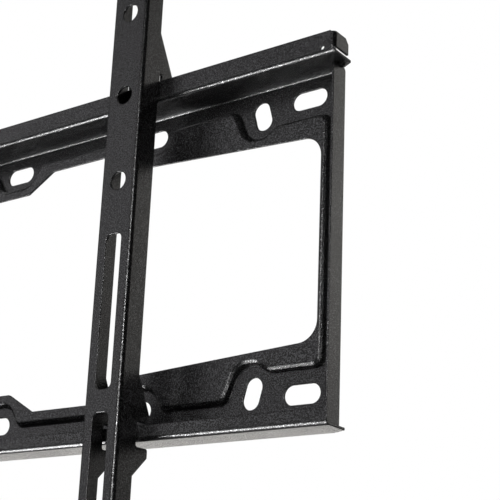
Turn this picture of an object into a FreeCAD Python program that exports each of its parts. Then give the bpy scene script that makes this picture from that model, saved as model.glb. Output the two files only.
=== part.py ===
import FreeCAD, Part
import math
import os

from FreeCAD import Placement, Rotation, Vector

# Fixed wall bracket for a television: a pressed wall plate and two hook-on arms
#
# The plate is one sheet. Its back field lies on the wall. A raised border is pressed forward
# round the large window, and it bows round the wall slots, which stay down on the wall. The top
# edge is folded forward into a shelf and up into the lip that the arms hang on. The bottom edge
# is folded the same way into a shorter lip, and both ends are folded forward into side walls.
# Each arm is a channel of sheet with a row of holes and two long slots. Both of its flanges
# carry a hook that drops over the top lip, and a catch that closes round the bottom lip.
#
# X runs along the plate, Y points into the wall and Z points up. The origin is the centre of
# the rows of wall slots, in the plane of the wall.

SIZES = (
    # The folded section of the plate
    ("plate_width", 648.0, "plate, from lip end to lip end"),
    ("plate_sheet", 1.2, "thickness of the plate's sheet"),
    ("plate_bend", 1.3, "inside radius of the plate's folds"),
    ("plate_depth", 21.8, "wall to the front of the lips"),
    ("shelf_under", 89.6, "origin up to the underside of the shelf"),
    ("foot_under", 98.3, "origin down to the underside of the bottom fold"),
    ("top_lip_height", 11.9, "underside of the shelf to the top of the lip"),
    ("bottom_lip_height", 8.0, "underside of the bottom fold to the top of its lip"),
    # The folded ends of the plate
    ("side_setback", 5.5, "end of the lip to the outer face of the side wall"),
    ("side_depth", 13.0, "wall to the front edge of the side wall"),
    ("side_slit", 0.3, "slit between the side wall and the folds above and below it"),
    ("side_chamfer", 2.8, "cut corner of the side wall at its fold"),
    ("overhang_back", 5.9, "wall to the back corner of the folds' overhanging ends"),
    ("overhang_root", 3.0, "wall to the back edge of the overhang at the side wall"),
    ("overhang_round", 1.5, "corner radius of the overhanging ends"),
    ("tab_length", 13.4, "end tab of the lip, from the front of the lip backwards"),
    ("tab_drop", 0.6, "top of the lip down to the top of its end tab"),
    ("tab_gap", 1.7, "top of the shelf up to the end tab"),
    ("tab_chamfer", 2.6, "cut corner of the end tab"),
    # The raised border
    ("border_rise", 3.6, "height of the raised border over the wall field"),
    ("border_run", 1.5, "width of the slope at the border's edge"),
    ("border_crest", 1.1, "narrow bevel that eases the crest of the slope"),
    ("border_mid", 0.7, "origin up to the middle line of border and window"),
    ("border_margin", 8.4, "underside of the shelf down to the outer edge of the border"),
    ("border_setback", 13.3, "end of the lip to the outer edge of the border"),
    ("pocket_reach", 12.6, "outer edge of the border in to the floor of a slot pocket"),
    ("pocket_floor", 23.0, "width of a slot pocket at its floor"),
    ("pocket_mouth", 37.0, "width of a slot pocket at its mouth"),
    ("pocket_radius", 10.0, "corner radius of a pocket's floor"),
    ("mouth_radius", 6.0, "corner radius of a pocket's mouth"),
    ("end_pocket_reach", 13.9, "outer edge of the border in to the floor of the end pocket"),
    ("lobe_reach", 18.9, "outer edge of the border in to the floor of the end pocket's lobe"),
    ("lobe_mouth", 15.6, "leaning slot to the lobe's side at the mouth"),
    ("lobe_side", 7.5, "leaning slot to the lobe's side at its floor"),
    ("lobe_radius", 9.0, "corner radius between the lobe's side and its floor"),
    ("lobe_floor_end", 3.3, "leaning slot to the other end of the lobe's floor"),
    ("lobe_slope_end", 10.8, "leaning slot to the end of the lobe's slope"),
    # The window, which leaves a rail of sheet above and below it
    ("window_setback", 17.2, "end of the lip to the end of the window"),
    ("rail_middle", 19.1, "outer edge of the border in to the window, at the middle"),
    ("rail_narrow", 7.8, "the same between the slots, where the rail is narrow"),
    ("rail_taper", 20.1, "the same where the rail starts to grow towards its end"),
    ("rail_end", 27.2, "the same at the window's end"),
    ("window_radius", 11.0, "corner radius at the window's ends"),
    ("window_ease", 3.0, "corner radius at the window's other corners"),
    ("step_start", 11.7, "wall slot to the start of a step in the window's edge"),
    ("step_run", 19.2, "length of a step in the window's edge"),
    # The wall slots
    ("slot_pitch", 104.5, "distance between wall slots"),
    ("slot_setback", 27.0, "end of the lip to the centre of the last wall slot"),
    ("slot_margin", 11.75, "underside of the shelf down to the upper row of wall slots"),
    ("slot_length", 21.0, "wall slot, end to end"),
    ("slot_width", 10.0, "wall slot across"),
    ("lean_inset", 29.2, "last wall slot to the leaning slot beside it"),
    ("lean_drop", 2.85, "row of wall slots in to the centre of a leaning slot"),
    ("lean_length", 16.5, "leaning slot, end to end"),
    ("lean_angle", 15.0, "lean of the leaning slot from upright, in degrees"),
    ("hole_setback", 7.1, "end of the lip to the small coating hole"),
    ("hole_height", 3.4, "underside of the shelf up to the coating hole"),
    ("hole_width", 2.3, "coating hole across"),
    # The arms
    ("arm_spacing", 400.0, "arm to arm, centre to centre"),
    ("arm_width", 24.0, "arm across"),
    ("arm_sheet", 1.5, "thickness of an arm's sheet"),
    ("arm_bend", 0.7, "inside radius of an arm's folds"),
    ("arm_flange", 13.3, "face of an arm to the back edge of its flanges"),
    ("arm_standoff", 1.6, "back edge of the flanges to the front of the lips"),
    ("middle_standoff", 1.0, "the same between hook and catch, where the flanges are wider"),
    ("arm_top", 205.0, "origin up to the top of an arm"),
    ("arm_length", 430.0, "arm, top to bottom"),
    ("arm_corner", 4.0, "cut corner at the ends of a flange"),
    ("fixing_width", 10.5, "holes and long slots of an arm across"),
    ("fixing_margin", 15.0, "end of an arm to the centre of its end hole"),
    ("fixing_pitch", 50.0, "hole to hole"),
    ("fixing_count", 4, "holes above the long slots"),
    ("long_slot_drop", 29.9, "last of those holes down to the top of the upper long slot"),
    ("long_slot_foot", 41.3, "bottom hole up to the foot of the lower long slot"),
    ("long_slot_corner", 3.2, "corner radius of a long slot"),
    ("long_slot_bar", 12.0, "bar between the long slots"),
    # The hooks and catches
    ("lip_clearance", 0.35, "clearance each side of a lip"),
    ("slit_round", 0.5, "corner radius at the end of the hook's slit"),
    ("hook_headroom", 4.5, "top of the lip up to the end of the hook's slit"),
    ("hook_reach", 11.3, "front of the lip to the back of the hook"),
    ("hook_start", 28.6, "top of the lip up to where the hook leaves the flange"),
    ("hook_slant", 24.0, "height of the hook's slant"),
    ("shoulder_drop", 1.2, "underside of the shelf down to the flange's shoulder"),
    ("catch_reach", 8.9, "front of the lip to the tips of the catch"),
    ("wing_gap", 2.2, "top of the bottom lip up to the catch's wing"),
    ("wing_nose", 4.3, "height of the wing's tip"),
    ("wing_slant", 19.9, "height of the wing's slant"),
    ("foot_gap", 2.7, "underside of the bottom fold down to the catch's foot"),
    ("foot_nose", 4.7, "height of the foot's tip"),
    ("foot_slant", 10.3, "height of the foot's slant"),
    ("catch_round", 1.2, "corner radius of hooks and catches"),
    # Shared by all the cuts
    ("cut_margin", 2.0, "how far a cutting outline runs past the sheet that it cuts"),
)

DOCUMENT = FreeCAD.newDocument("wall_bracket")
SHEET = DOCUMENT.addObject("Spreadsheet::Sheet", "Sizes")
for row, (alias, value, note) in enumerate(SIZES, start=1):
    SHEET.set(f"A{row}", note)
    SHEET.set(f"B{row}", str(value))
    SHEET.setAlias(f"B{row}", alias)
DOCUMENT.recompute()


def size(alias):
    """One driving dimension, in millimetres or degrees."""
    return float(getattr(SHEET, alias))


# Dimensions that follow from the driving ones

half_width = size("plate_width") / 2
sheet_t = size("plate_sheet")
outer_bend = size("plate_bend") + sheet_t
shelf_top = size("shelf_under") + sheet_t
lip_top = size("shelf_under") + size("top_lip_height")
lip_front = -size("plate_depth")
foot_z = -size("foot_under")
bottom_lip_top = foot_z + size("bottom_lip_height")
side_x = half_width - size("side_setback")
border_edge = size("shelf_under") - size("border_margin") - size("border_mid")
last_slot_x = half_width - size("slot_setback")
slot_columns = [last_slot_x - step * size("slot_pitch") for step in (2, 1, 0)]
slot_row = size("shelf_under") - size("slot_margin")
lean_x = last_slot_x - size("lean_inset")
lean_row = slot_row - size("lean_drop")
flange_back = lip_front - size("arm_standoff")
middle_back = lip_front - size("middle_standoff")
arm_face = flange_back - size("arm_flange")
arm_bottom = size("arm_top") - size("arm_length")
past = size("cut_margin")


CLOSE = 1e-4  # lengths and angles that differ by less than this are the same

# Outlines with rounded corners
#
# An outline is a list of corners (u, v, radius). A corner of radius 0 stays sharp.


def shifted(corners, distance, closed=True):
    """The outline moved to its left by a distance, each corner's radius following the move."""
    count = len(corners)
    moved = []
    for index, (u, v, radius) in enumerate(corners):
        first = not closed and index == 0
        last = not closed and index == count - 1
        before = corners[index - 1]
        after = corners[(index + 1) % count]
        into = Vector(u - before[0], v - before[1], 0)
        out = Vector(after[0] - u, after[1] - v, 0)
        into = out if first else into
        out = into if last else out
        into.normalize()
        out.normalize()
        left_in = Vector(-into.y, into.x, 0)
        left_out = Vector(-out.y, out.x, 0)
        bisector = left_in + left_out
        reach = 2 * distance / bisector.dot(bisector)
        turn = into.x * out.y - into.y * out.x
        grown = radius - math.copysign(1, turn) * distance if radius > 0 else 0
        moved.append((u + bisector.x * reach, v + bisector.y * reach, max(grown, 0)))
    return moved


def thickened(path, thickness):
    """The closed outline of a sheet that lies to the left of an open path."""
    return path + shifted(path, thickness, closed=False)[::-1]


def edges_of(corners):
    """The closed outline's lines and arcs, in order. One corner alone is a circle round it."""
    count = len(corners)
    if count == 1:
        u, v, radius = corners[0]
        return [Part.Circle(Vector(u, v, 0), Vector(0, 0, 1), radius)]
    starts, ends, arcs = [], [], []
    for index, (u, v, radius) in enumerate(corners):
        corner = Vector(u, v, 0)
        before = Vector(*corners[index - 1][:2], 0) - corner
        after = Vector(*corners[(index + 1) % count][:2], 0) - corner
        half_angle = before.getAngle(after) / 2
        if radius <= 0 or abs(half_angle - math.pi / 2) < CLOSE:
            starts.append(corner)
            ends.append(corner)
            arcs.append(None)
            continue
        before.normalize()
        after.normalize()
        setback = radius / math.tan(half_angle)
        middle = before + after
        middle.normalize()
        to_arc = radius / math.sin(half_angle) - radius
        starts.append(corner + before * setback)
        ends.append(corner + after * setback)
        arcs.append(corner + middle * to_arc)
    edges = []
    for index in range(count):
        if arcs[index] is not None:
            edges.append(Part.Arc(starts[index], arcs[index], ends[index]))
        following = starts[(index + 1) % count]
        if (following - ends[index]).Length > CLOSE:
            edges.append(Part.LineSegment(ends[index], following))
    return edges


def slot_corners(u, v, length, width, corner, angle=0.0):
    """A slot's four corners. It runs along u, turned by an angle in degrees."""
    turn = Rotation(Vector(0, 0, 1), angle)
    corners = []
    for along, across in ((1, 1), (-1, 1), (-1, -1), (1, -1)):
        point = turn.multVec(Vector(along * length / 2, across * width / 2, 0))
        corners.append((u + point.x, v + point.y, corner))
    return corners


# Sketches and features of a body

def plane(body, role):
    """One of the body's own origin planes."""
    for feature in body.Origin.OriginFeatures:
        if feature.Role == role:
            return feature
    raise ValueError(role)


def sketch(body, name, role, outlines, lift=0.0):
    """A sketch of closed outlines on an origin plane, lifted along the plane's normal."""
    made = body.newObject("Sketcher::SketchObject", name)
    made.AttachmentSupport = (plane(body, role), "")
    made.MapMode = "FlatFace"
    made.AttachmentOffset = Placement(Vector(0, 0, lift), Rotation())
    for corners in outlines:
        for edge in edges_of(corners):
            made.addGeometry(edge, False)
    made.recompute()
    return made


def pad(body, name, profile, length=None, symmetric=False, reversed_way=False):
    """A pad whose length is an expression over the sheet."""
    made = body.newObject("PartDesign::Pad", name)
    made.Profile = profile
    made.Type = "Length"
    made.SideType = "Symmetric" if symmetric else "One side"
    made.Reversed = reversed_way
    made.setExpression("Length", length)
    DOCUMENT.recompute()
    return made


def pocket(body, name, profile, length=None, symmetric=False, reversed_way=False):
    """A pocket that has to take material away."""
    volume_before = body.Shape.Volume
    made = body.newObject("PartDesign::Pocket", name)
    made.Profile = profile
    made.SideType = "Symmetric" if symmetric else "One side"
    made.Reversed = reversed_way
    if length is None:
        made.Type = "ThroughAll"
    else:
        made.Type = "Length"
        made.setExpression("Length", length)
    DOCUMENT.recompute()
    if made.Shape.isNull() or made.Shape.Volume > volume_before - CLOSE:
        raise RuntimeError(f"{name} cuts nothing")
    return made


def hollow(body, name, mouth, floor):
    """A hollow with leaning sides, from a mouth to a floor of as many corners."""
    made = body.newObject("PartDesign::SubtractiveLoft", name)
    made.Profile = mouth
    made.Sections = [floor]
    made.Ruled = True
    DOCUMENT.recompute()
    return made


def lean(body, name, sides, neutral):
    """Sides of the body's tip that lean out by the border's slope from a neutral face."""
    base = body.Tip
    volume_before = base.Shape.Volume
    made = body.newObject("PartDesign::Draft", name)
    DOCUMENT.recompute()
    made.Base = (base, sides)
    made.NeutralPlane = (base, [neutral])
    made.Reversed = True
    made.setExpression("Angle", "atan(Sizes.border_run / Sizes.border_rise)")
    DOCUMENT.recompute()
    if made.Shape.isNull() or made.Shape.Volume < volume_before + CLOSE:
        raise RuntimeError(f"{name} leans the wrong way")
    return made


def bevel(body, name, width, chosen):
    """A narrow bevel along the edges of the body's tip that a test picks out."""
    base = body.Tip
    names = [f"Edge{i}" for i, edge in enumerate(base.Shape.Edges, start=1) if chosen(edge)]
    made = body.newObject("PartDesign::Chamfer", name)
    made.Base = (base, names)
    made.setExpression("Size", width)
    DOCUMENT.recompute()
    return made


# The wall plate


def section_corners():
    """The folded section in Y and Z: along its front from the top lip down, then up its back."""
    inside = size("plate_bend")
    return [
        (lip_front, lip_top, 0),
        (lip_front, size("shelf_under"), outer_bend),
        (-sheet_t, size("shelf_under"), inside),
        (-sheet_t, foot_z + sheet_t, inside),
        (lip_front + sheet_t, foot_z + sheet_t, inside),
        (lip_front + sheet_t, bottom_lip_top, 0),
        (lip_front, bottom_lip_top, 0),
        (lip_front, foot_z, outer_bend),
        (0, foot_z, outer_bend),
        (0, shelf_top, outer_bend),
        (lip_front + sheet_t, shelf_top, inside),
        (lip_front + sheet_t, lip_top, 0),
    ]


def mirrored_loop(quarter):
    """A closed outline from its upper right quarter, mirrored to all four about the border."""
    mid = size("border_mid")
    upper_right = [(x, mid + z, radius) for x, z, radius in quarter]
    lower_right = [(x, mid - z, radius) for x, z, radius in quarter[::-1]]
    right = upper_right + lower_right
    left = [(-x, z, radius) for x, z, radius in right[::-1]]
    return right + left


def pocket_quarter(column):
    """The bow of the border's edge round one wall slot, from the middle outwards."""
    floor = border_edge - size("pocket_reach")
    mouth_half = size("pocket_mouth") / 2
    floor_half = size("pocket_floor") / 2
    return [
        (column - mouth_half, border_edge, size("mouth_radius")),
        (column - floor_half, floor, size("pocket_radius")),
        (column + floor_half, floor, size("pocket_radius")),
        (column + mouth_half, border_edge, size("mouth_radius")),
    ]


def border_loop():
    """The outer edge of the raised border, down on the wall field, clockwise from the middle."""
    lobe_floor = border_edge - size("lobe_reach")
    end_floor = border_edge - size("end_pocket_reach")
    quarter = []
    for column in slot_columns[:2]:
        quarter += pocket_quarter(column)
    quarter += [
        (lean_x - size("lobe_mouth"), border_edge, size("mouth_radius")),
        (lean_x - size("lobe_side"), lobe_floor, size("lobe_radius")),
        (lean_x + size("lobe_floor_end"), lobe_floor, size("mouth_radius")),
        (lean_x + size("lobe_slope_end"), end_floor, size("mouth_radius")),
        (half_width - size("border_setback"), end_floor, size("mouth_radius")),
    ]
    return mirrored_loop(quarter)


def window_loop():
    """The window: tall between the slots, lower round them, and tapered at its ends."""
    ease = size("window_ease")
    first_step = slot_columns[0] + size("step_start")
    second_step = slot_columns[1] - size("step_start")
    end = half_width - size("window_setback")
    return mirrored_loop(
        [
            (first_step, border_edge - size("rail_middle"), ease),
            (first_step + size("step_run"), border_edge - size("rail_narrow"), ease),
            (second_step - size("step_run"), border_edge - size("rail_narrow"), ease),
            (second_step, border_edge - size("rail_taper"), ease),
            (end, border_edge - size("rail_end"), size("window_radius")),
        ]
    )


def wall_slots():
    """The level slots, three to each end of each row, and the leaning slots beside the last."""
    outlines = []
    length = size("slot_length")
    width = size("slot_width")
    for side in (-1, 1):
        for row in (-1, 1):
            z = row * slot_row
            for column in slot_columns:
                outlines.append(slot_corners(side * column, z, length, width, width / 2))
            upright = 90 + side * row * size("lean_angle")
            x = side * lean_x
            z = row * lean_row
            outlines.append(slot_corners(x, z, size("lean_length"), width, width / 2, upright))
    return outlines


def side_wall_corners(side):
    """The folded end seen from above: out from the back field, and forward as the side wall."""
    start = side_x - outer_bend - past
    path = [
        (side * start, 0, 0),
        (side * side_x, 0, outer_bend),
        (side * side_x, -size("side_depth"), 0),
    ]
    return thickened(path, -side * sheet_t)


def tab_corners(side):
    """The lip's end tab seen from above: along the lip, and back as the tab."""
    start = half_width - outer_bend - past
    path = [
        (side * start, lip_front, 0),
        (side * half_width, lip_front, outer_bend),
        (side * half_width, lip_front + size("tab_length"), 0),
    ]
    return thickened(path, side * sheet_t)


def end_corner_cuts():
    """What is cut off the side wall's back corners and the end tab's, in Y and Z."""
    top = size("shelf_under") - size("side_slit")
    foot = foot_z + sheet_t + size("side_slit")
    chamfer = size("side_chamfer")
    tab_top = lip_top - size("tab_drop")
    tab_back = lip_front + size("tab_length")
    tab_cut = size("tab_chamfer")
    return [
        [(-chamfer, top, 0), (past, top, 0), (past, top - chamfer - past, 0)],
        [(-chamfer, foot, 0), (past, foot + chamfer + past, 0), (past, foot, 0)],
        [
            (tab_back - tab_cut, tab_top, 0),
            (tab_back - tab_cut, tab_top + past, 0),
            (tab_back + past, tab_top + past, 0),
            (tab_back + past, tab_top - tab_cut, 0),
            (tab_back, tab_top - tab_cut, 0),
        ],
    ]


def faces_reaching(feature, back, front):
    """Names of a feature's faces that reach from one depth in Y to another."""
    names = []
    for index, face in enumerate(feature.Shape.Faces, start=1):
        box = face.BoundBox
        if abs(box.YMax - back) < CLOSE and abs(box.YMin - front) < CLOSE:
            names.append(f"Face{index}")
    return names


def lies_on(edge, y):
    """Whether an edge of the border lies in the plane at y, inside the folds."""
    box = edge.BoundBox
    inside = max(abs(box.ZMin), abs(box.ZMax)) < border_edge + past
    return abs(box.YMin - y) < CLOSE and abs(box.YMax - y) < CLOSE and inside


def make_wall_plate():
    body = DOCUMENT.addObject("PartDesign::Body", "wall_plate")
    body.Label = "wall_plate"

    section = sketch(body, "folded_section", "YZ_Plane", [section_corners()])
    pad(body, "folded_sheet", section, "Sizes.plate_width", symmetric=True)

    # The back field ends where the side wall's fold starts, and the other folds hang over it
    field_end = side_x - outer_bend
    beyond = half_width + past
    cuts = []
    for side in (-1, 1):
        cuts.append(
            [
                (side * field_end, past, 0),
                (side * field_end, -size("overhang_root"), 0),
                (side * side_x, -size("overhang_root"), 0),
                (side * half_width, -size("overhang_back"), size("overhang_round")),
                (side * beyond, -size("overhang_back"), 0),
                (side * beyond, past, 0),
            ]
        )
    ends = sketch(body, "field_ends", "XY_Plane", cuts)
    pocket(body, "field_end_cut", ends, symmetric=True)

    # The lip's bend radius at its ends makes room for the tabs
    lip_end = half_width - outer_bend
    tab_foot = shelf_top + size("tab_gap")
    cuts = []
    for side in (-1, 1):
        cuts.append(
            [
                (side * lip_end, tab_foot - size("tab_gap") / 2, 0),
                (side * lip_end, lip_top + past, 0),
                (side * beyond, lip_top + past, 0),
                (side * beyond, tab_foot - size("tab_gap") / 2, 0),
            ]
        )
    ends = sketch(body, "lip_ends", "XZ_Plane", cuts)
    pocket(body, "lip_end_cut", ends, reversed_way=True)

    # Side walls
    profile = sketch(
        body,
        "side_walls",
        "XY_Plane",
        [side_wall_corners(-1), side_wall_corners(1)],
        foot_z + sheet_t + size("side_slit"),
    )
    height = "Sizes.shelf_under + Sizes.foot_under - Sizes.plate_sheet - 2 * Sizes.side_slit"
    pad(body, "side_wall_folds", profile, height)

    # End tabs of the top lip
    profile = sketch(
        body, "end_tabs", "XY_Plane", [tab_corners(-1), tab_corners(1)], tab_foot
    )
    height = "Sizes.top_lip_height - Sizes.plate_sheet - Sizes.tab_gap - Sizes.tab_drop"
    pad(body, "end_tab_folds", profile, height)

    # Cut corners of the side walls at their folds and of the end tabs
    depth = (
        "Sizes.side_setback + Sizes.plate_bend + Sizes.plate_sheet + 2 * Sizes.cut_margin"
    )
    for side in (-1, 1):
        start = side * (half_width + past)
        corners = sketch(body, f"end_corners_{side}", "YZ_Plane", end_corner_cuts(), start)
        pocket(body, f"end_corner_cuts_{side}", corners, depth, reversed_way=side < 0)

    # The raised border, pressed forward: its sides lean out from the crest to the root
    loop = border_loop()
    rise = size("border_rise")
    run = size("border_run")
    front = -sheet_t - rise
    crest = sketch(body, "border_crest_line", "XZ_Plane", [shifted(loop, -run)], sheet_t)
    block = pad(body, "border_block", crest, "Sizes.border_rise")
    sides = faces_reaching(block, -sheet_t, front)
    lean(body, "border_slope", sides, faces_reaching(block, front, front)[0])
    bevel(body, "border_crest_bevel", "Sizes.border_crest", lambda e: lies_on(e, front))

    # The same slope behind it, set in by the sheet's own thickness
    inset = sheet_t * (math.hypot(rise, run) - run) / rise
    back = sketch(body, "border_back_line", "XZ_Plane", [shifted(loop, -inset)])
    floor = sketch(body, "border_under_line", "XZ_Plane", [shifted(loop, -inset - run)], rise)
    hollow(body, "border_hollow", back, floor)

    # Window, wall slots and coating holes
    window = sketch(body, "window", "XZ_Plane", [window_loop()], sheet_t + rise + past)
    pocket(body, "window_cut", window)
    slots = sketch(body, "wall_slots", "XZ_Plane", wall_slots(), sheet_t + past)
    pocket(body, "wall_slot_cuts", slots)
    x = half_width - size("hole_setback")
    z = size("shelf_under") + size("hole_height")
    radius = size("hole_width") / 2
    rounds = [[(-x, z, radius)], [(x, z, radius)]]
    holes = sketch(body, "coating_holes", "XZ_Plane", rounds, -lip_front + past)
    pocket(body, "coating_hole_cuts", holes)
    return body


# The arms


def channel_corners():
    """The arm's channel seen from above, deep enough for the hooks."""
    half = size("arm_width") / 2
    bend = size("arm_bend") + size("arm_sheet")
    back = lip_front + size("hook_reach")
    path = [
        (half, back, 0),
        (half, arm_face, bend),
        (-half, arm_face, bend),
        (-half, back, 0),
    ]
    return thickened(path, -size("arm_sheet"))


def flange_waste():
    """What is cut from behind a flange, in Y and Z: it leaves hook, shoulder, wing and foot."""
    clear = size("lip_clearance")
    slit_front = lip_front - clear
    slit_back = lip_front + sheet_t + clear
    hook_back = lip_front + size("hook_reach")
    catch_back = lip_front + size("catch_reach")
    hook_start = lip_top + size("hook_start")
    hook_end = hook_start - size("hook_slant")
    slit_top = lip_top + size("hook_headroom")
    shoulder = size("shelf_under") - size("shoulder_drop")
    wing_under = bottom_lip_top + size("wing_gap")
    wing_nose = wing_under + size("wing_nose")
    wing_start = wing_nose + size("wing_slant")
    foot_over = foot_z - size("foot_gap")
    foot_nose = foot_over - size("foot_nose")
    foot_end = foot_nose - size("foot_slant")
    corner = size("arm_corner")
    outside = hook_back + past
    soft = size("catch_round")
    return [
        (outside, size("arm_top") + past, 0),
        (flange_back - corner - past, size("arm_top") + past, 0),
        (flange_back, size("arm_top") - corner, 0),
        (flange_back, hook_start, 0),
        (hook_back, hook_end, 0),
        (hook_back, shelf_top, soft),
        (slit_back, shelf_top, size("plate_bend") + clear),
        (slit_back, slit_top, size("slit_round")),
        (slit_front, slit_top, size("slit_round")),
        (slit_front, shoulder, 0),
        (middle_back, shoulder - size("middle_standoff") + clear, 0),
        (middle_back, wing_start, 0),
        (catch_back, wing_nose, soft),
        (catch_back, wing_under, soft),
        (slit_front, wing_under, soft),
        (slit_front, foot_over, soft),
        (catch_back, foot_over, soft),
        (catch_back, foot_nose, soft),
        (flange_back, foot_end, 0),
        (flange_back, arm_bottom + corner, 0),
        (flange_back - corner - past, arm_bottom - past, 0),
        (outside, arm_bottom - past, 0),
    ]


def face_openings():
    """The holes and long slots of an arm's face."""
    width = size("fixing_width")
    upper_hole = size("arm_top") - size("fixing_margin")
    lower_hole = arm_bottom + size("fixing_margin")
    upper_holes = int(size("fixing_count"))
    centres = [upper_hole - index * size("fixing_pitch") for index in range(upper_holes)]
    top = centres[-1] - size("long_slot_drop")
    length = (top - lower_hole - size("long_slot_foot") - size("long_slot_bar")) / 2
    outlines = [[(0, z, width / 2)] for z in centres + [lower_hole]]
    for _ in range(2):
        middle = top - length / 2
        outlines.append(slot_corners(0, middle, length, width, size("long_slot_corner"), 90))
        top -= length + size("long_slot_bar")
    return outlines


def make_arm(name, side):
    body = DOCUMENT.addObject("PartDesign::Body", name)
    body.Label = name
    profile = sketch(body, f"{name}_channel", "XY_Plane", [channel_corners()], arm_bottom)
    pad(body, f"{name}_fold", profile, "Sizes.arm_length")
    waste = sketch(body, f"{name}_outline", "YZ_Plane", [flange_waste()])
    pocket(body, f"{name}_outline_cut", waste, symmetric=True)
    openings = sketch(body, f"{name}_openings", "XZ_Plane", face_openings(), -arm_face + past)
    pocket(body, f"{name}_opening_cuts", openings)
    body.setExpression("Placement.Base.x", f"{side} * Sizes.arm_spacing / 2")
    return body


plate = make_wall_plate()
arms = [make_arm("tv_arm_left", -1), make_arm("tv_arm_right", 1)]
DOCUMENT.recompute()


# Checks and files

for item in DOCUMENT.Objects:
    if "Invalid" in item.State or "Error" in item.State:
        raise RuntimeError(f"{item.Name} failed: {item.State}")

os.makedirs("parts", exist_ok=True)
for body in [plate] + arms:
    shape = body.Shape
    if shape.isNull() or not shape.isValid() or len(shape.Solids) != 1:
        raise RuntimeError(f"{body.Label} is not one sound solid")
    box = shape.BoundBox
    print(
        f"{body.Label}: {shape.Volume / 1000:.1f} cm3, {len(shape.Faces)} faces, "
        f"X {box.XMin:.1f} {box.XMax:.1f}, Y {box.YMin:.1f} {box.YMax:.1f}, "
        f"Z {box.ZMin:.1f} {box.ZMax:.1f}"
    )
for body in [plate] + arms:
    body.Shape.exportStep(os.path.join("parts", f"{body.Label}.step"))
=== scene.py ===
# %% [markdown]
# A television wall bracket, dressed for its portrait. Three steel pieces arrive ready made: a
# pressed wall plate and two hook-on arms. They already have their real shape, so no mesh is
# modelled here. What is left is the camera, the light and the finish, and on a black object
# the light does half of the work.

# %% Load the pieces
import math

import bpy
from mathutils import Matrix, Vector

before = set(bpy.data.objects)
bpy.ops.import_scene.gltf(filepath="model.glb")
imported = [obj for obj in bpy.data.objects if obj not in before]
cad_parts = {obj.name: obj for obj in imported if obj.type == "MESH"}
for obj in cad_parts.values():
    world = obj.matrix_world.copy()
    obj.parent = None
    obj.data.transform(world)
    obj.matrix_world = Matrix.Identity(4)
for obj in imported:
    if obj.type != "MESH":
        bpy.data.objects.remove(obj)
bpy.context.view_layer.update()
for name, piece in sorted(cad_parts.items()):
    print(name, len(piece.data.polygons), "faces")

# %% [markdown]
# The photographer stood low and to the right, and looked up and across at the bracket's end.
# A camera can be matched by eye, but here straight edges of known length were at hand, so its
# place, lens and angles were worked out from them. Three turns say how it is held: it swings
# to the left, tips up, and leans over a little about its own line of sight. The picture is a
# crop, so its centre isn't where the lens points. A small shift of the sensor does the same.

# %% The camera
# In pixels of the picture: its side and its centre, the focal length, and where the lens points
PICTURE = 500.0
PICTURE_CENTRE = (PICTURE - 1) / 2
FOCAL_PIXELS = 1286.8
LENS_AXIS = (199.9, 280.0)

SENSOR = 36.0
CAMERA_PLACE = Vector((0.6298, -0.5102, -0.2135))
NEAREST_SEEN = 0.01

# An unturned camera looks straight down, so it is first tipped up until it looks level
LEVEL = math.radians(90)
SWING_LEFT = math.radians(38.052)
TIP_UP = math.radians(17.43)
LEAN = math.radians(3.009)

lens = bpy.data.cameras.new("portrait_lens")
lens.sensor_width = SENSOR
lens.lens = FOCAL_PIXELS / PICTURE * SENSOR
lens.shift_x = (PICTURE_CENTRE - LENS_AXIS[0]) / PICTURE
lens.shift_y = (LENS_AXIS[1] - PICTURE_CENTRE) / PICTURE
lens.clip_start = NEAREST_SEEN
camera = bpy.data.objects.new("portrait_camera", lens)
bpy.context.scene.collection.objects.link(camera)
swing = Matrix.Rotation(SWING_LEFT, 4, "Z")
tip = Matrix.Rotation(LEVEL + TIP_UP, 4, "X")
lean = Matrix.Rotation(LEAN, 4, "Z")
camera.matrix_world = Matrix.Translation(CAMERA_PLACE) @ swing @ tip @ lean
bpy.context.scene.camera = camera
print("lens", round(lens.lens, 1), "mm, shift", round(lens.shift_x, 3), round(lens.shift_y, 3))

# %% [markdown]
# Blender's usual view transform, AgX, rolls bright light off softly, so white needs a huge
# strength, and its glare then eats into the thin edges of a dark object. A catalogue picture
# on pure white is printed straight, so the plain Standard transform is the one to choose:
# a strength of one is paper white, and dark edges against it stay crisp.

# %% The view transform
PAPER_WHITE = 1.0

bpy.context.scene.view_settings.view_transform = "Standard"
print("view transform", bpy.context.scene.view_settings.view_transform)

# %% [markdown]
# A black product is photographed against a wide white backdrop that is lit more strongly than
# the product itself. The backdrop does two jobs. It burns out to plain white, and its
# reflection draws every face that is seen at a slant. In front of the bracket the room is
# darker, so the faces that look at the camera stay black.
#
# A picture of a studio could light the scene, but a few soft glows, each round one direction,
# are enough and easy to tune. Most directions are those that a kind of face mirrors to the
# camera: the end walls mirror the backdrop to the right, the folds that turn under mirror the
# backdrop low down to the left, and the fronts mirror the room in front and to the left. A
# wide and dim glow stands for the rest of the backdrop, and one overhead lights the floor and
# the upper faces. The backdrop is a touch warm and the light in front a touch cool, as the
# tints of the real faces ask.

# %% The glows
WARM_WHITE = (1.02, 1.0, 0.96)
COOL_WHITE = (1.01, 1.0, 1.03)
PLAIN_WHITE = (1.0, 1.0, 1.0)

# Each glow: where it lies as seen from the bracket, how narrow it is, how bright, and its white
ROOM_GLOWS = {
    "dim_backdrop": ((0.0, 0.9, 0.45), 5.0, 0.1, WARM_WHITE),
    "right_backdrop": ((0.43, 0.82, 0.34), 32.0, 1.3, WARM_WHITE),
    "low_backdrop": ((-0.6, 0.75, -0.15), 8.0, 1.75, WARM_WHITE),
    "front_left": ((-0.6, -0.75, 0.3), 14.0, 0.65, COOL_WHITE),
    "far_left": ((-0.8, -0.55, 0.2), 14.0, 0.4, COOL_WHITE),
    "overhead": ((0.0, 0.0, 1.0), 10.0, 0.8, PLAIN_WHITE),
}

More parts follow.
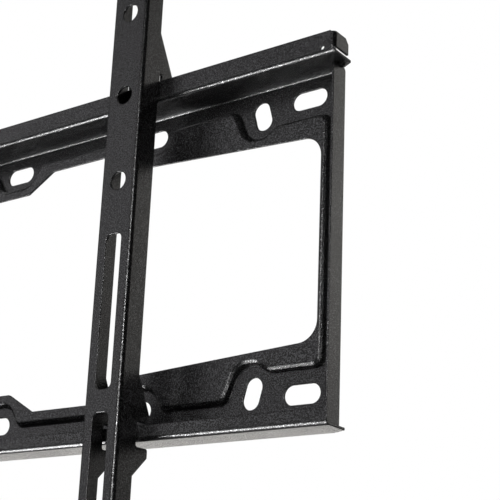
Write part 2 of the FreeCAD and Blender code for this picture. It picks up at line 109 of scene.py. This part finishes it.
for name, glow in ROOM_GLOWS.items():
    narrowness = glow[1]
    half_bright = math.degrees(math.acos(0.5 ** (1 / narrowness)))
    print(name, "fades to half", round(half_bright), "degrees from its middle")

# %% [markdown]
# A glow is the world's own colour, worked out for each direction that a ray leaves in. The
# dot product of that direction and the glow's is one in the middle of the glow and falls to
# nothing a quarter turn away, and a high power of it makes the glow narrow. The glows are
# simply added up.
#
# The camera mustn't see them, because the backdrop of the portrait is an even white. The
# Light Path node knows which rays come straight from the camera, and gives those paper white.

# %% The room
def add_glow(tree, direction, glow, so_far):
    """A soft glow of the world round one direction, added to the glows so far."""
    towards, narrowness, strength, white = glow
    facing = tree.nodes.new("ShaderNodeVectorMath")
    facing.operation = "DOT_PRODUCT"
    facing.inputs[1].default_value = Vector(towards).normalized()
    tree.links.new(direction, facing.inputs[0])
    front_only = tree.nodes.new("ShaderNodeMath")
    front_only.operation = "MAXIMUM"
    front_only.inputs[1].default_value = 0.0
    tree.links.new(facing.outputs["Value"], front_only.inputs[0])
    narrowed = tree.nodes.new("ShaderNodeMath")
    narrowed.operation = "POWER"
    narrowed.inputs[1].default_value = narrowness
    tree.links.new(front_only.outputs["Value"], narrowed.inputs[0])
    total = tree.nodes.new("ShaderNodeVectorMath")
    total.operation = "MULTIPLY_ADD"
    total.inputs[1].default_value = Vector(white) * strength
    tree.links.new(narrowed.outputs["Value"], total.inputs[0])
    if so_far is not None:
        tree.links.new(so_far, total.inputs[2])
    return total.outputs["Vector"]


def studio_room(glows):
    """A world that lights the bracket with its glows and looks white to the camera."""
    world = bpy.data.worlds.new("studio_room")
    world.use_nodes = True
    tree = world.node_tree
    direction = tree.nodes.new("ShaderNodeTexCoord").outputs["Generated"]
    light = None
    for glow in glows:
        light = add_glow(tree, direction, glow, light)
    around = tree.nodes["Background"]
    tree.links.new(light, around.inputs["Color"])
    seen = tree.nodes.new("ShaderNodeBackground")
    seen.inputs["Color"].default_value = (*PLAIN_WHITE, 1)
    seen.inputs["Strength"].default_value = PAPER_WHITE
    path = tree.nodes.new("ShaderNodeLightPath")
    choose = tree.nodes.new("ShaderNodeMixShader")
    tree.links.new(path.outputs["Is Camera Ray"], choose.inputs["Fac"])
    tree.links.new(around.outputs["Background"], choose.inputs[1])
    tree.links.new(seen.outputs["Background"], choose.inputs[2])
    tree.links.new(choose.outputs["Shader"], tree.nodes["World Output"].inputs["Surface"])
    return world


bpy.context.scene.world = studio_room(ROOM_GLOWS.values())
print(len(ROOM_GLOWS), "glows light the room")

# %% [markdown]
# The floor lies far enough below the bracket to stay out of the portrait. It is large, like
# the paper roll of a studio, so that no edge of it comes into the other views. Matt paint is
# enough for it. To the camera it also glows, so that it runs into the white behind it without
# a line. A floor that really shone would fill the hollow under the shelf, which has to stay
# nearly black, so the Light Path node switches the glow on for the camera's own rays only.

# %% The floor
FLOOR_HEIGHT = -1.2
FLOOR_SIZE = 8.0
FLOOR_PAINT = (0.5, 0.5, 0.5, 1)
FLOOR_ROUGHNESS = 0.9

bpy.ops.mesh.primitive_plane_add(size=FLOOR_SIZE, location=(0, 0, FLOOR_HEIGHT))
floor = bpy.context.object
floor.name = "pale_floor"
paint = bpy.data.materials.new("pale_floor_paint")
paint.use_nodes = True
floor_shader = paint.node_tree.nodes["Principled BSDF"].inputs
floor_shader["Base Color"].default_value = FLOOR_PAINT
floor_shader["Roughness"].default_value = FLOOR_ROUGHNESS
floor_shader["Emission Color"].default_value = (*PLAIN_WHITE, 1)
looked_at = paint.node_tree.nodes.new("ShaderNodeLightPath").outputs["Is Camera Ray"]
paint.node_tree.links.new(looked_at, floor_shader["Emission Strength"])
floor.data.materials.append(paint)
print("floor", FLOOR_SIZE, "m across,", FLOOR_HEIGHT, "m high")

# %% [markdown]
# Lamps add what the glows are too soft for. The low reflector lies in front of the bracket,
# below it and to the left, where only the folds that turn under can mirror it: it draws the
# thin bright line along each lower bend. The tall softbox stands in front, a little to the
# right, and does the same for the upright bends of the arms. Both are area lamps, because a
# small bright source would give hard edges, and neither is seen by the camera itself.

# %% The lamps
BRACKET_END = (0.25, 0.0, 0.0)
UPRIGHT = Vector((0.0, 0.0, 1.0))
WALLWARD = Vector((0.0, 1.0, 0.0))

# Each lamp: its place, what it faces, its width and length, which way that runs, and its power
STUDIO_LAMPS = {
    "low_reflector": ((-0.45, -0.37, -0.82), BRACKET_END, 0.3, 0.55, WALLWARD, 18.0),
    "tall_softbox": ((0.60, -1.34, 0.10), BRACKET_END, 0.2, 0.8, UPRIGHT, 13.0),
}


def soft_lamp(name, place, target, width, length, along, power):
    """A soft lamp that faces a target, its length turned as near to a direction as it goes."""
    light = bpy.data.lights.new(name, "AREA")
    light.shape = "RECTANGLE"
    light.size = width
    light.size_y = length
    light.energy = power
    lamp = bpy.data.objects.new(name, light)
    away = (Vector(place) - Vector(target)).normalized()
    lengthwise = (along - away * along.dot(away)).normalized()
    turned = Matrix((lengthwise.cross(away), lengthwise, away)).transposed()
    lamp.matrix_world = Matrix.Translation(place) @ turned.to_4x4()
    lamp.visible_camera = False
    bpy.context.scene.collection.objects.link(lamp)
    return lamp


for name, values in STUDIO_LAMPS.items():
    lamp = soft_lamp(name, *values)
    print(lamp.name, lamp.data.energy, "watts")

# %% [markdown]
# Now the finish. A finish is a net of nodes, and much of the net repeats, so four helpers wire
# it. One starts an empty node group: a net with a name and with sockets of its own, which is
# built once and then placed in as many materials as need it. The others add a noise, stretch
# a value from one span to another, and mix two colours by a mask.

# %% Helpers for nets of nodes
NUMBER = "NodeSocketFloat"
COLOUR = "NodeSocketColor"
VECTOR = "NodeSocketVector"


def start_group(name, inputs, outputs):
    """An empty node group, with the sockets that it is given and hands on."""
    group = bpy.data.node_groups.new(name, "ShaderNodeTree")
    for direction, sockets in (("INPUT", inputs), ("OUTPUT", outputs)):
        for label, kind in sockets.items():
            group.interface.new_socket(label, in_out=direction, socket_type=kind)
    given = group.nodes.new("NodeGroupInput").outputs
    result = group.nodes.new("NodeGroupOutput").inputs
    return group, given, result


def noise(tree, place, scale, detail, roughness):
    """A noise texture in the object's own metres."""
    texture = tree.nodes.new("ShaderNodeTexNoise")
    texture.inputs["Detail"].default_value = detail
    texture.inputs["Roughness"].default_value = roughness
    tree.links.new(place, texture.inputs["Vector"])
    tree.links.new(scale, texture.inputs["Scale"])
    return texture.outputs["Fac"]


def stretch(tree, value, span, low=0.0, high=1.0):
    """A value stretched from a span to low and high, and held between them."""
    spread = tree.nodes.new("ShaderNodeMapRange")
    spread.inputs["From Min"].default_value = span[0]
    spread.inputs["From Max"].default_value = span[1]
    tree.links.new(value, spread.inputs["Value"])
    for label, limit in (("To Min", low), ("To Max", high)):
        if isinstance(limit, bpy.types.NodeSocket):
            tree.links.new(limit, spread.inputs[label])
        else:
            spread.inputs[label].default_value = limit
    return spread.outputs["Result"]


def mix_colours(tree, mask, first, second):
    """Two colours mixed by a mask."""
    mix = tree.nodes.new("ShaderNodeMix")
    mix.data_type = "RGBA"
    for label, source in (("Factor", mask), ("A", first), ("B", second)):
        tree.links.new(source, mix.inputs[label])
    return mix.outputs["Result"]


print("a group's sockets are of the kinds", NUMBER, COLOUR, VECTOR)

# %% [markdown]
# Powder coat is a dry paint that is baked on. It melts into a skin about a tenth of a
# millimetre thick, which sets with a fine grain, like orange peel, and with tiny glints in
# it. The grain is far too small to model, so it is a bump with a change of shine and colour.
# The glints are flakes that mirror light as metal does: where a fine noise passes a
# threshold, the paint turns metallic. Flakes of a paler paint would look grey in the shade as
# well, but these sparkle in the light and stay black in the dark.
#
# One node group makes all this, because the three pieces wear the same coat. Its inputs are
# the coat's own: how fine the grain, the flakes and the clouds of shine are, how dark and
# light the paint gets, how bright the flakes are and how much the shine varies.

# %% A group that makes the grain
# The span of each noise that is stretched from nothing to all
GRAIN_SPAN = (0.35, 0.65)
FLAKE_SPAN = (0.55, 0.65)
CLOUD_SPAN = (0.3, 0.7)


def powder_grain_group():
    """The coat's colour, glints, roughness and height, from three noises."""
    group, given, result = start_group(
        "powder_grain",
        {
            "Grain Scale": NUMBER, "Flake Scale": NUMBER, "Cloud Scale": NUMBER,
            "Dark": COLOUR, "Light": COLOUR, "Flake": COLOUR,
            "Rough Low": NUMBER, "Rough High": NUMBER,
        },
        {"Color": COLOUR, "Metallic": NUMBER, "Roughness": NUMBER, "Height": NUMBER},
    )
    place = group.nodes.new("ShaderNodeTexCoord").outputs["Object"]
    grain = noise(group, place, given["Grain Scale"], detail=2.0, roughness=0.6)
    sparks = noise(group, place, given["Flake Scale"], detail=1.0, roughness=0.5)
    clouds = noise(group, place, given["Cloud Scale"], detail=2.0, roughness=0.5)

    shade = stretch(group, grain, GRAIN_SPAN)
    paint = mix_colours(group, shade, given["Dark"], given["Light"])
    flakes = stretch(group, sparks, FLAKE_SPAN)
    colour = mix_colours(group, flakes, paint, given["Flake"])
    shine = stretch(group, clouds, CLOUD_SPAN, given["Rough Low"], given["Rough High"])

    group.links.new(colour, result["Color"])
    group.links.new(flakes, result["Metallic"])
    group.links.new(shine, result["Roughness"])
    group.links.new(grain, result["Height"])
    return group


POWDER_GRAIN = powder_grain_group()
print("grain sockets:", [item.name for item in POWDER_GRAIN.interface.items_tree])

# %% [markdown]
# Melted powder runs, so it softens every corner: outside edges get a small round of their own,
# and inside corners fill up. Modelling that would cost many thin faces. The Bevel node bends
# the normals near an edge instead, which costs no faces and works on both kinds of corner.
# Where the bent normal leaves the real one, there is an edge, and the coat is thinner and
# shinier there. The group hands that on as a mask.

# %% A group that rounds the edges
EDGE_SAMPLES = 8
# How far the two normals agree: just short of one is still flat, and 0.9 is fully an edge
EDGE_SPAN = (0.995, 0.9)


def soft_edge_group():
    """A normal that is rounded at every edge, and a mask of those edges."""
    group, given, result = start_group(
        "soft_edges", {"Edge Radius": NUMBER}, {"Normal": VECTOR, "Edge": NUMBER}
    )
    rounding = group.nodes.new("ShaderNodeBevel")
    rounding.samples = EDGE_SAMPLES
    group.links.new(given["Edge Radius"], rounding.inputs["Radius"])
    bent = rounding.outputs["Normal"]
    real = group.nodes.new("ShaderNodeNewGeometry").outputs["Normal"]
    agreement = group.nodes.new("ShaderNodeVectorMath")
    agreement.operation = "DOT_PRODUCT"
    group.links.new(bent, agreement.inputs[0])
    group.links.new(real, agreement.inputs[1])
    edge = stretch(group, agreement.outputs["Value"], EDGE_SPAN)

    group.links.new(bent, result["Normal"])
    group.links.new(edge, result["Edge"])
    return group


SOFT_EDGES = soft_edge_group()
print("edge sockets:", [item.name for item in SOFT_EDGES.interface.items_tree])

# %% [markdown]
# The material itself is the plain Principled shader of a paint, fed by the two groups. The
# groups hold no sizes or colours: the coat's own are listed here and handed to them. At the
# edges the paint is shinier, so the roughness is scaled down there. The paint is almost black,
# so nearly all that the eye sees of it is what it mirrors.

# %% The black coat
MILLIMETRE = 0.001

COAT_GRAIN = {
    "Grain Scale": 1900.0,
    "Flake Scale": 1800.0,
    "Cloud Scale": 25.0,
    "Dark": (0.0008, 0.0008, 0.0008, 1),
    "Light": (0.0022, 0.0022, 0.0022, 1),
    "Flake": (0.145, 0.145, 0.148, 1),
    "Rough Low": 0.17,
    "Rough High": 0.23,
}
COAT_EDGES = {"Edge Radius": 0.8 * MILLIMETRE}
GRAIN_HEIGHT = 0.12 * MILLIMETRE
EDGE_SHINE = 0.8


def placed_group(tree, group, values):
    """A node group placed in a material, with the material's own values."""
    node = tree.nodes.new("ShaderNodeGroup")
    node.node_tree = group
    for label, value in values.items():
        node.inputs[label].default_value = value
    return node.outputs


def black_powder_coat(name):
    """The coat as a material."""
    material = bpy.data.materials.new(name)
    material.use_nodes = True
    tree = material.node_tree
    shader = tree.nodes["Principled BSDF"].inputs
    grain = placed_group(tree, POWDER_GRAIN, COAT_GRAIN)
    edges = placed_group(tree, SOFT_EDGES, COAT_EDGES)
    tree.links.new(grain["Color"], shader["Base Color"])
    tree.links.new(grain["Metallic"], shader["Metallic"])

    shinier = stretch(tree, edges["Edge"], (0.0, 1.0), 1.0, EDGE_SHINE)
    roughness = tree.nodes.new("ShaderNodeMath")
    roughness.operation = "MULTIPLY"
    tree.links.new(grain["Roughness"], roughness.inputs[0])
    tree.links.new(shinier, roughness.inputs[1])
    tree.links.new(roughness.outputs["Value"], shader["Roughness"])

    relief = tree.nodes.new("ShaderNodeBump")
    relief.inputs["Distance"].default_value = GRAIN_HEIGHT
    tree.links.new(grain["Height"], relief.inputs["Height"])
    tree.links.new(edges["Normal"], relief.inputs["Normal"])
    tree.links.new(relief.outputs["Normal"], shader["Normal"])
    return material


for name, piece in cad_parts.items():
    coat = black_powder_coat(f"{name}_coat")
    piece.data.materials.clear()
    piece.data.materials.append(coat)
    print(name, "wears", coat.name)
